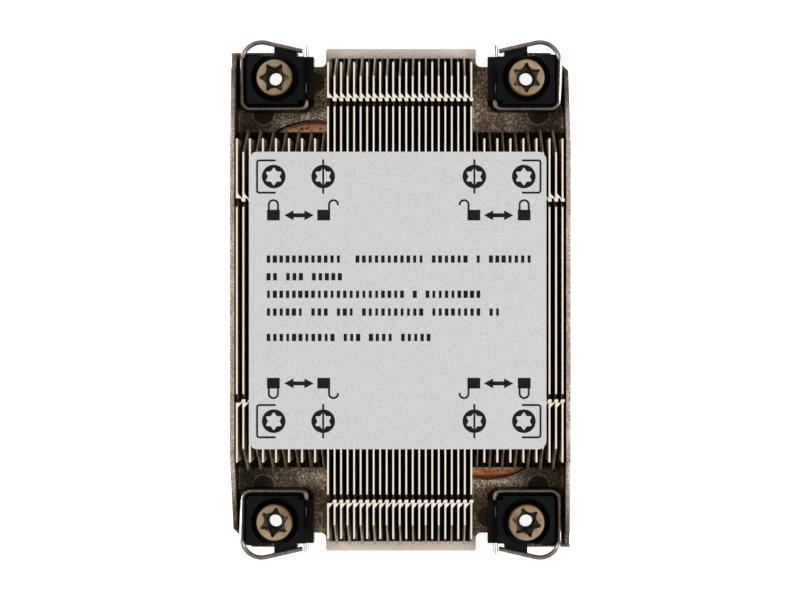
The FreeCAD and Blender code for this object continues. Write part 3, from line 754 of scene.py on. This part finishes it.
# %% Skeletons and the pieces that grow on them
def skeleton(name, points, edges=(), **attributes):
    """A mesh of points and edges; each attribute holds one number per point."""
    mesh = bpy.data.meshes.new(name)
    mesh.from_pydata(points, edges, [])
    for label, values in attributes.items():
        mesh.attributes.new(label, "FLOAT", "POINT").data.foreach_set("value", values)
    return mesh


def grown(name, mesh, tree, **values):
    """Run a tree on a skeleton and keep the result as a plain mesh."""
    obj = new_object(name, mesh)
    modifier = obj.modifiers.new("Tree", "NODES")
    modifier.node_group = tree
    for item in tree.interface.items_tree:
        key = item.name.lower().replace(" ", "_")
        if item.in_out == "INPUT" and key in values:
            modifier[item.identifier] = values[key]
    return settled(obj)


# %% [markdown]
# ## Anti-tilt wires
#
# Each wire is one length of round spring steel, bent in a jig: a stub that turns in the housing,
# an arm, a long outer side that reaches round the nut, a wide bend and a last arm. A Bezier curve
# drawn by eye would do, but its bends would not be true arcs. A tree rounds the corners of a
# plain path instead and sweeps a circle along it. The path carries the radius of each bend, as a
# jig does, and near both ends it gets thinner, because a cut wire is chamfered.

# %% The tree of a bent wire
def bent_wire_tree():
    tree, size = new_tree("bent wire", ["Radius"])
    path = add(tree, "GeometryNodeMeshToCurve", {"Mesh": size["Skeleton"]}).outputs[0]
    path = add(tree, "GeometryNodeFilletCurve",
               {"Curve": path, "Radius": attribute_of(tree, "bend"), "Count": 12},
               mode="POLY").outputs[0]
    girth = attribute_of(tree, "girth")
    path = add(tree, "GeometryNodeSetCurveRadius", {"Curve": path, "Radius": girth}).outputs[0]
    circle = circle_of(tree, 20, size["Radius"])
    swept = add(tree, "GeometryNodeCurveToMesh",
                {"Curve": path, "Profile Curve": circle, "Scale": girth,
                 "Fill Caps": True}).outputs[0]
    swept = add(tree, "GeometryNodeSetShadeSmooth", {"Geometry": swept}).outputs[0]
    close_tree(tree, swept, size["Material"])
    return tree


# %% Four wires
WIRE_RADIUS = 0.6 * MM
WIRE_LEVEL = 8.0 * MM
END_CHAMFER = 0.15 * MM
END_GIRTH = 0.75                             # share of the wire's radius at its very end
WIRE_PATH = [                 # millimetres from the nut's axis, and the radius of the bend
    (-7.1, 7.8, 0),
    (-7.1, -6.9, 1.3),
    (7.585, -6.9, 1.8),
    (7.985, 9.75, 4.6),
    (-6.3, 6.45, 0),
]
NUT_SPOT = (29.0 * MM, 51.2 * MM)


def stepped_in(end, following):
    """The point a chamfer's length inside an end of the path."""
    direction = (Vector(following) - Vector(end)).normalized()
    return tuple(Vector(end) + direction * END_CHAMFER)


wire_tree = bent_wire_tree()
for corner, (side_x, side_y) in CORNERS.items():
    points = [(side_x * (NUT_SPOT[0] + x * MM), side_y * (NUT_SPOT[1] + y * MM), WIRE_LEVEL)
              for x, y, _ in WIRE_PATH]
    bends = [bend * MM for _, _, bend in WIRE_PATH]
    points = [points[0], stepped_in(points[0], points[1]), *points[1:-1],
              stepped_in(points[-1], points[-2]), points[-1]]
    bends = [0, 0, *bends[1:-1], 0, 0]
    girths = [END_GIRTH] + [1.0] * (len(points) - 2) + [END_GIRTH]
    mesh = skeleton(f"wire_path_{corner}", points,
                    [(i, i + 1) for i in range(len(points) - 1)], bend=bends, girth=girths)
    wire = grown(f"bent_wire_{corner}", mesh, wire_tree, radius=WIRE_RADIUS,
                 material=FINISHES["spring_steel"])
    wire.data.set_sharp_from_angle(angle=math.radians(30))
    place_piece(wire, f"wire_{corner}", [f"anti_tilt_wire_{corner}"])

# %% [markdown]
# ## Threaded inserts
#
# A plastic nut would strip, so each one is moulded round a steel insert. Its rim shows as a ring
# at the bottom of the driver recess, and the thread runs down its bore; the insert's steel is
# painted dark with shade. A thread could be only a bump on a smooth hole, but the hole is open
# from above and lets light through. So the tree winds a small triangle along a helix, which is
# the path a thread cutter takes, and fills the flat ring between two circles for the rim.

# %% The tree of an insert
def insert_tree():
    tree, size = new_tree("threaded insert", ["Bore", "Rim", "Rim Height", "Pitch", "Length",
                                              "Thread Depth"])
    turns = add(tree, "ShaderNodeMath", {0: size["Length"], 1: size["Pitch"]},
                operation="DIVIDE").outputs[0]
    helix = add(tree, "GeometryNodeCurveSpiral",
                {"Resolution": 32, "Rotations": turns, "Start Radius": size["Bore"],
                 "End Radius": size["Bore"], "Height": size["Length"]}).outputs[0]
    cutter = circle_of(tree, 3, size["Thread Depth"])
    thread = add(tree, "GeometryNodeCurveToMesh",
                 {"Curve": helix, "Profile Curve": cutter, "Fill Caps": True}).outputs[0]
    outlines = joined(tree, circle_of(tree, 48, size["Rim"]), circle_of(tree, 48, size["Bore"]))
    flat = add(tree, "GeometryNodeFillCurve", {"Curve": outlines}, mode="NGONS").outputs[0]
    rim = solid_of(tree, flat, size["Rim Height"])
    lift = add(tree, "ShaderNodeCombineXYZ", {"Z": size["Length"]}).outputs[0]
    rim = add(tree, "GeometryNodeTransform", {"Geometry": rim, "Translation": lift}).outputs[0]
    standing = add(tree, "GeometryNodeInstanceOnPoints",
                   {"Points": size["Skeleton"], "Instance": joined(tree, thread, rim)}).outputs[0]
    close_tree(tree, standing, size["Material"])
    return tree


# %% Four inserts
RECESS_FLOOR = 9.2 * MM
THREAD_START = 4.7 * MM
BORE_RADIUS = 1.65 * MM
RIM_RADIUS = 2.05 * MM
THREAD_PITCH = 0.7 * MM

insert = insert_tree()
for corner, (side_x, side_y) in CORNERS.items():
    spot = (side_x * NUT_SPOT[0], side_y * NUT_SPOT[1], THREAD_START)
    piece = grown(f"thread_insert_{corner}", skeleton(f"insert_spot_{corner}", [spot]), insert,
                  bore=BORE_RADIUS, rim=RIM_RADIUS, rim_height=0.08 * MM, pitch=THREAD_PITCH,
                  length=RECESS_FLOOR - THREAD_START, thread_depth=0.13 * MM,
                  material=FINISHES["insert_steel"])
    place_piece(piece, f"nut_{corner}")

# %% [markdown]
# ## Label
#
# The label is a printed film. Ink could be painted in the material, but edges this sharp need a
# picture or real shapes, so each mark is a flat piece of its own. Ink is far thinner than anything
# else here, so the film is lowered by a hair and the ink stands on it up to the height of the
# solid model. The marks are plain signs: a driver star in a disc where a nut is, a bracket for a
# wire's locked place, a locked and an open padlock with an arrow between them, and rows of blocks
# where a plain text would stand.

# %% Film
INK_HEIGHT = 0.03 * MM
PRINT_TOP = max(vertex.co.z for vertex in NODES["label"].data.vertices)
PRINT_BOTTOM = PRINT_TOP - INK_HEIGHT

film = softened("label", "film", INK_HEIGHT, segments=1)
for vertex in film.data.vertices:
    if vertex.co.z > PRINT_BOTTOM:
        vertex.co.z = PRINT_BOTTOM
place_piece(film, "heatsink", ["label"])

# %% [markdown]
# ### Trees of print
#
# Four trees cover all the marks: closed outlines that are filled, open paths that become lines,
# discs with a star cut out of them, and rows of blocks. Each works on any skeleton, so a mark is
# moved by moving its points.

# %% Filled outlines and lines
def flat_print_tree():
    """Closed outlines become flat pieces of ink."""
    tree, size = new_tree("flat print", ["Level", "Thickness"])
    outline = add(tree, "GeometryNodeMeshToCurve", {"Mesh": size["Skeleton"]}).outputs[0]
    flat = add(tree, "GeometryNodeFillCurve", {"Curve": outline}, mode="NGONS").outputs[0]
    lift = add(tree, "ShaderNodeCombineXYZ", {"Z": size["Level"]}).outputs[0]
    solid = add(tree, "GeometryNodeTransform",
                {"Geometry": solid_of(tree, flat, size["Thickness"]),
                 "Translation": lift}).outputs[0]
    close_tree(tree, solid, size["Material"])
    return tree


def line_print_tree():
    """Open paths with rounded corners become lines of ink."""
    tree, size = new_tree("line print", ["Width", "Thickness"])
    path = add(tree, "GeometryNodeMeshToCurve", {"Mesh": size["Skeleton"]}).outputs[0]
    path = add(tree, "GeometryNodeFilletCurve",
               {"Curve": path, "Radius": attribute_of(tree, "bend"), "Count": 8},
               mode="POLY").outputs[0]
    path = add(tree, "GeometryNodeSetCurveNormal", {"Curve": path}, mode="Z_UP").outputs[0]
    section = add(tree, "GeometryNodeCurvePrimitiveQuadrilateral",
                  {"Width": size["Width"], "Height": size["Thickness"]}).outputs[0]
    line = add(tree, "GeometryNodeCurveToMesh",
               {"Curve": path, "Profile Curve": section, "Fill Caps": True}).outputs[0]
    close_tree(tree, line, size["Material"])
    return tree


# %% Star discs
def star_disc_tree():
    """Discs with a six-pointed hole, one on every point of the skeleton."""
    tree, size = new_tree("star discs", ["Radius", "Tip", "Valley", "Thickness"])
    disc = circle_of(tree, 48, size["Radius"])
    star = add(tree, "GeometryNodeCurveStar",
               {"Points": 6, "Inner Radius": size["Valley"],
                "Outer Radius": size["Tip"]}).outputs["Curve"]
    star = add(tree, "GeometryNodeTransform",
               {"Geometry": star, "Rotation": (0, 0, math.radians(30))}).outputs[0]
    star = add(tree, "GeometryNodeFilletCurve",
               {"Curve": star, "Radius": 0.22 * MM, "Count": 3, "Limit Radius": True},
               mode="POLY").outputs[0]
    flat = add(tree, "GeometryNodeFillCurve", {"Curve": joined(tree, disc, star)},
               mode="NGONS").outputs[0]
    mark = solid_of(tree, flat, size["Thickness"])
    copies = add(tree, "GeometryNodeInstanceOnPoints",
                 {"Points": size["Skeleton"], "Instance": mark}).outputs[0]
    close_tree(tree, copies, size["Material"])
    return tree


# %% Rows of blocks
def block_row_tree():
    """Rows of small blocks along edges; a few are left out at random, like spaces."""
    tree, size = new_tree("block rows", ["Pitch", "Block Width", "Block Height", "Thickness",
                                         "Share Kept"])
    rows = add(tree, "GeometryNodeMeshToCurve", {"Mesh": size["Skeleton"]}).outputs[0]
    rows = add(tree, "GeometryNodeResampleCurve", {"Curve": rows, "Length": size["Pitch"]},
               mode="LENGTH").outputs[0]
    keep = add(tree, "FunctionNodeRandomValue",
               {"Probability": size["Share Kept"], "Seed": 11}, data_type="BOOLEAN")
    extent = add(tree, "ShaderNodeCombineXYZ", {"X": size["Block Width"],
                                                "Y": size["Block Height"],
                                                "Z": size["Thickness"]}).outputs[0]
    block = add(tree, "GeometryNodeMeshCube", {"Size": extent}).outputs[0]
    narrow = add(tree, "FunctionNodeRandomValue",
                 {2: 0.62, 3: 1.0, "Seed": 5}, data_type="FLOAT").outputs[1]
    scale = add(tree, "ShaderNodeCombineXYZ", {"X": narrow, "Y": 1.0, "Z": 1.0}).outputs[0]
    copies = add(tree, "GeometryNodeInstanceOnPoints",
                 {"Points": rows, "Selection": keep.outputs[3], "Instance": block,
                  "Scale": scale}).outputs[0]
    close_tree(tree, copies, size["Material"])
    return tree


# %% [markdown]
# ### Where the marks stand
#
# The print is the same left and right of its middle line, and nearly the same above and below, so
# one half is listed and mirrored. The padlocks stand on their heads in the lower half.

# %% Places of the marks, in millimetres
PRINT_MIDDLE = -0.2
DISC_X = (28.12, 17.0)
BRACKET_OUTER = 31.87
BRACKET_END = 27.7
BRACKET_HALF = 3.63
LINE_HALF = 3.85
LOCK_X = 28.2
OPEN_LOCK_X = 16.88
LOCK_HALF = (1.43, 1.2)
SHACKLE_HALF = 1.03
SHACKLE_FOOT = 0.9
SHACKLE_TOP = 3.35
OPEN_SHACKLE = (1.2, 3.2, 2.2)               # its stem, its hook's end, and that end's height
ARROW_X = 22.45
ARROW = ((-3.3, 0), (-1.25, 1.1), (-1.25, 0.45), (1.25, 0.45), (1.25, 1.1), (3.3, 0),
         (1.25, -1.1), (1.25, -0.45), (-1.25, -0.45), (-1.25, -1.1))
HALVES = ((27.87, 19.2, 1), (-27.15, -18.6, -1))       # discs, padlocks, and which way is up
TEXT_ROWS = ((9.31, -29.5, 29.1), (5.33, -29.5, -12.0), (1.39, -29.5, 17.7),
             (-2.61, -29.5, 22.0), (-8.32, -29.5, 6.5))
print("print:", 2 * len(HALVES), "groups of signs,", len(TEXT_ROWS), "rows of blocks")

# %% Outlines and paths of one group of signs
discs, loops, lines = [], [], []


def spot(side, x, y):
    return ((PRINT_MIDDLE + side * x) * MM, y * MM)


def arch(side, first, second, foot, top, other_foot, radius):
    """A path up one side, over the top and down the other, with two rounded corners."""
    return [(*spot(side, first, foot), 0), (*spot(side, first, top), radius),
            (*spot(side, second, top), radius), (*spot(side, second, other_foot), 0)]


def lay_out(side, disc_y, lock_y, up):
    discs.extend(spot(side, x, disc_y) for x in DISC_X)
    lines.append([(*spot(side, DISC_X[1], disc_y + LINE_HALF), 0),
                  (*spot(side, DISC_X[1], disc_y - LINE_HALF), 0)])
    lines.append([(*spot(side, BRACKET_END, disc_y + BRACKET_HALF), 0),
                  (*spot(side, BRACKET_OUTER, disc_y + BRACKET_HALF), 0.5),
                  (*spot(side, BRACKET_OUTER, disc_y - BRACKET_HALF), 0.5),
                  (*spot(side, BRACKET_END, disc_y - BRACKET_HALF), 0)])
    wide, high = LOCK_HALF
    for x in (LOCK_X, OPEN_LOCK_X):
        loops.append([spot(side, x + a * wide, lock_y + b * high)
                      for a, b in ((-1, -1), (1, -1), (1, 1), (-1, 1))])
    foot, top = lock_y + up * SHACKLE_FOOT, lock_y + up * SHACKLE_TOP
    lines.append(arch(side, LOCK_X + SHACKLE_HALF, LOCK_X - SHACKLE_HALF, foot, top, foot, 1.02))
    stem, hook, hook_end = OPEN_SHACKLE
    lines.append(arch(side, OPEN_LOCK_X - stem, OPEN_LOCK_X - hook, foot, top,
                      lock_y + up * hook_end, 0.99))
    loops.append([spot(side, ARROW_X + x, lock_y - 0.05 + y) for x, y in ARROW])


for disc_y, lock_y, up in HALVES:
    for side in (-1, 1):
        lay_out(side, disc_y, lock_y, up)
print("signs:", len(discs), "discs,", len(loops), "outlines,", len(lines), "lines")

# %% [markdown]
# ### Ink
#
# Each kind of mark is grown from its skeleton and laid on the film as one piece. The lines are a
# little lower than the filled signs, so where they cross, no two faces share a level.

# %% Helpers for ink
def print_skeleton(name, paths, level, closed):
    """One mesh of all the paths; a third value on a point is the radius of its corner."""
    points, edges, bends = [], [], []
    for path in paths:
        start = len(points)
        points += [(point[0], point[1], level) for point in path]
        bends += [point[2] * MM if len(point) > 2 else 0.0 for point in path]
        edges += [(start + i, start + i + 1) for i in range(len(path) - 1)]
        if closed:
            edges.append((start + len(path) - 1, start))
    return skeleton(name, points, edges, bend=bends)


def print_ink(name, marks, tree, **sizes):
    """Grow one kind of mark and lay it on the film."""
    obj = grown(name, marks, tree, material=FINISHES["label_ink"], **sizes)
    place_piece(obj, "heatsink")
    low = min(vertex.co.z for vertex in obj.data.vertices)
    high = max(vertex.co.z for vertex in obj.data.vertices)
    print(f"   ink from {low / MM:.3f} to {high / MM:.3f} mm")


# %% Signs and lines
LINE_THICKNESS = INK_HEIGHT * 0.8
LINE_WIDTH = 0.44 * MM

print_ink("printed_signs", print_skeleton("sign_outlines", loops, 0.0, True),
          flat_print_tree(), level=PRINT_BOTTOM, thickness=INK_HEIGHT)
print_ink("printed_lines",
          print_skeleton("sign_paths", lines, PRINT_BOTTOM + LINE_THICKNESS / 2, False),
          line_print_tree(), width=LINE_WIDTH, thickness=LINE_THICKNESS)

# %% Discs and rows
print_ink("printed_stars", skeleton("star_spots", [(x, y, PRINT_BOTTOM) for x, y in discs]),
          star_disc_tree(), radius=2.65 * MM, tip=2.15 * MM, valley=1.32 * MM,
          thickness=INK_HEIGHT)
row_points = [(x * MM, y * MM, PRINT_BOTTOM + INK_HEIGHT / 2)
              for y, start, end in TEXT_ROWS for x in (start, end)]
row_edges = [(2 * i, 2 * i + 1) for i in range(len(TEXT_ROWS))]
print_ink("printed_rows", skeleton("rows", row_points, row_edges), block_row_tree(),
          pitch=1.42 * MM, block_width=0.95 * MM, block_height=1.65 * MM,
          thickness=INK_HEIGHT, share_kept=0.84)
